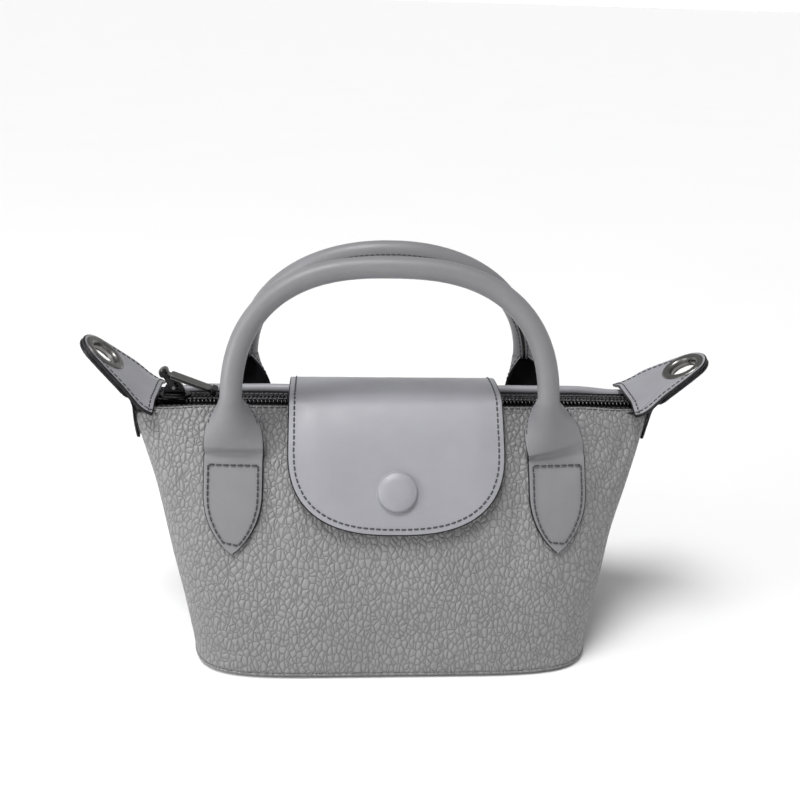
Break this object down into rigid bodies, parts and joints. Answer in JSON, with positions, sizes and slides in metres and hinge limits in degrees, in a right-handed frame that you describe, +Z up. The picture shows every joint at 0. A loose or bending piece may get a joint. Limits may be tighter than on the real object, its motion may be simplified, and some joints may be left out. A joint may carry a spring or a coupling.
{
  "type": "mini handbag",
  "caption": "Small soft trapezoid handbag with a zip top, a press-snap flap, rolled top handles and eyelet strap tabs.",
  "frame": {"origin": "centre of the base's underside, on the surface the bag stands on", "axes": "+X along the zip to the wearer's right seen from the flap side, -Y the flap (front) side, +Z up"},
  "size_m": [0.2412, 0.0986, 0.1532],
  "materials": {
    "pebbled_leather": "cool grey pebbled faux leather, semi-matte",
    "smooth_leather": "cool grey smooth faux leather, satin, black painted edges, dark thread",
    "black_lining": "plain black woven lining",
    "base_board": "grey-brown fibre board",
    "zip_tape": "black woven zip tape",
    "zip_coil": "black nylon coil",
    "gunmetal": "gunmetal plated, polished",
    "handle_core": "foam cord filling"
  },
  "bodies": {
    "bag": {"front_panel": "pebbled_leather", "back_panel": "pebbled_leather", "front_lining": "black_lining", "back_lining": "black_lining", "base_panel": "pebbled_leather", "base_board": "base_board", "base_lining": "black_lining", "inner_pocket": "black_lining", "front_rim_binding": "smooth_leather", "rear_rim_binding": "smooth_leather", "zip_tape_front": "zip_tape", "zip_tape_rear": "zip_tape", "zip_coil_front": "zip_coil", "zip_coil_rear": "zip_coil", "zip_stop_left": "gunmetal", "zip_stop_right": "gunmetal", "flap_root": "smooth_leather", "snap_stud": "gunmetal", "snap_washer": "gunmetal", "front_handle_foot_left": "smooth_leather", "front_handle_foot_right": "smooth_leather", "rear_handle_foot_left": "smooth_leather", "rear_handle_foot_right": "smooth_leather", "left_tab_root_upper": "smooth_leather", "left_tab_root_lower": "smooth_leather", "right_tab_root_upper": "smooth_leather", "right_tab_root_lower": "smooth_leather"},
    "flap": {"flap_bridge": "smooth_leather", "flap_tongue": "smooth_leather", "flap_lining": "black_lining", "snap_cap": "smooth_leather", "snap_socket": "gunmetal"},
    "front_handle": {"front_handle_grip": "smooth_leather", "front_handle_core": "handle_core", "front_handle_neck_left": "smooth_leather", "front_handle_neck_right": "smooth_leather"},
    "rear_handle": {"rear_handle_grip": "smooth_leather", "rear_handle_core": "handle_core", "rear_handle_neck_left": "smooth_leather", "rear_handle_neck_right": "smooth_leather"},
    "left_tab": {"left_tab_upper": "smooth_leather", "left_tab_lower": "smooth_leather", "left_eyelet": "gunmetal", "left_eyelet_washer": "gunmetal"},
    "right_tab": {"right_tab_upper": "smooth_leather", "right_tab_lower": "smooth_leather", "right_eyelet": "gunmetal", "right_eyelet_washer": "gunmetal"},
    "slider": {"zip_slider": "gunmetal", "zip_slider_bail": "gunmetal"},
    "link": {"pull_link": "gunmetal"},
    "pull": {"pull_bar": "gunmetal", "pull_bar_end": "gunmetal"}
  },
  "joints": [
    {"name": "flap_lift", "type": "hinge", "parent": "bag", "child": "flap", "pos_m": [0, 0.012, 0.0965], "axis": [-1, 0, 0], "range_deg": [0, 75], "deforming": ["flap_bridge"]},
    {"name": "front_handle_fold", "type": "hinge", "parent": "bag", "child": "front_handle", "pos_m": [0, -0.0265, 0.079], "axis": [1, 0, 0], "range_deg": [0, 110]},
    {"name": "rear_handle_fold", "type": "hinge", "parent": "bag", "child": "rear_handle", "pos_m": [0, 0.0265, 0.079], "axis": [-1, 0, 0], "range_deg": [0, 110]},
    {"name": "left_tab_fold", "type": "hinge", "parent": "bag", "child": "left_tab", "pos_m": [-0.098, 0, 0.0975], "axis": [0, 1, 0], "range_deg": [-45, 35]},
    {"name": "right_tab_fold", "type": "hinge", "parent": "bag", "child": "right_tab", "pos_m": [0.098, 0, 0.0975], "axis": [0, -1, 0], "range_deg": [-45, 35]},
    {"name": "zip_slide", "type": "slide", "parent": "bag", "child": "slider", "axis": [1, 0, 0], "range_m": [0, 0.145]},
    {"name": "pull_link_swing", "type": "hinge", "parent": "slider", "child": "link", "pos_m": [-0.084, 0, 0.0985], "axis": [0, -1, 0], "range_deg": [0, 30]},
    {"name": "pull_bar_swing", "type": "hinge", "parent": "link", "child": "pull", "pos_m": [-0.0876, 0, 0.10427], "axis": [0, -1, 0], "range_deg": [0, 120]}
  ]
}
